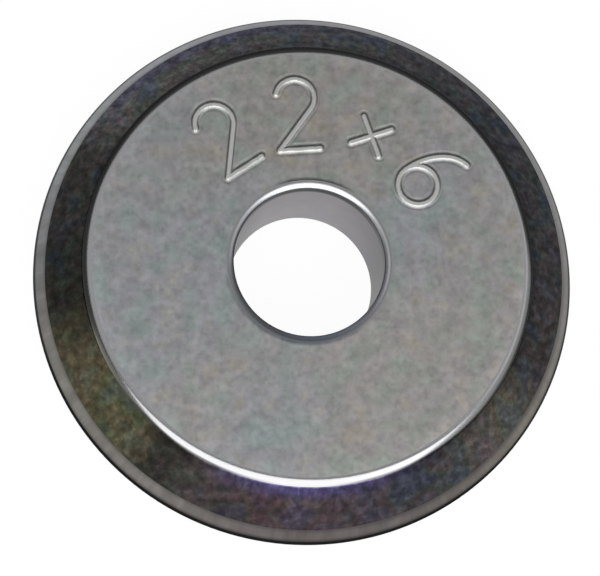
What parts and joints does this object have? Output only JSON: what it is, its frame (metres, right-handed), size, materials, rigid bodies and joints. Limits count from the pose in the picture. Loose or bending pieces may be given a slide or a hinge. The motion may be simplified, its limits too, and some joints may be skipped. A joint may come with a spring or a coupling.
{
  "type": "tile cutter wheel",
  "caption": "Scoring wheel for a manual tile cutter: a solid carbide disc with a double-bevelled cutting rim and a plain bore for its axle.",
  "frame": {"origin": "centre of the bore at the wheel's mid thickness, in the plane of the cutting edge", "axes": "+Z along the bore, out of the face that carries the size mark; the wheel lies on its other face"},
  "size_m": [0.022, 0.022, 0.005],
  "materials": {
    "carbide": "sintered cemented carbide: satin grey faces, ground and polished dark flanks, light ground edge bevels"
  },
  "bodies": {
    "root": {"cutting_wheel": "carbide"}
  },
  "joints": []
}
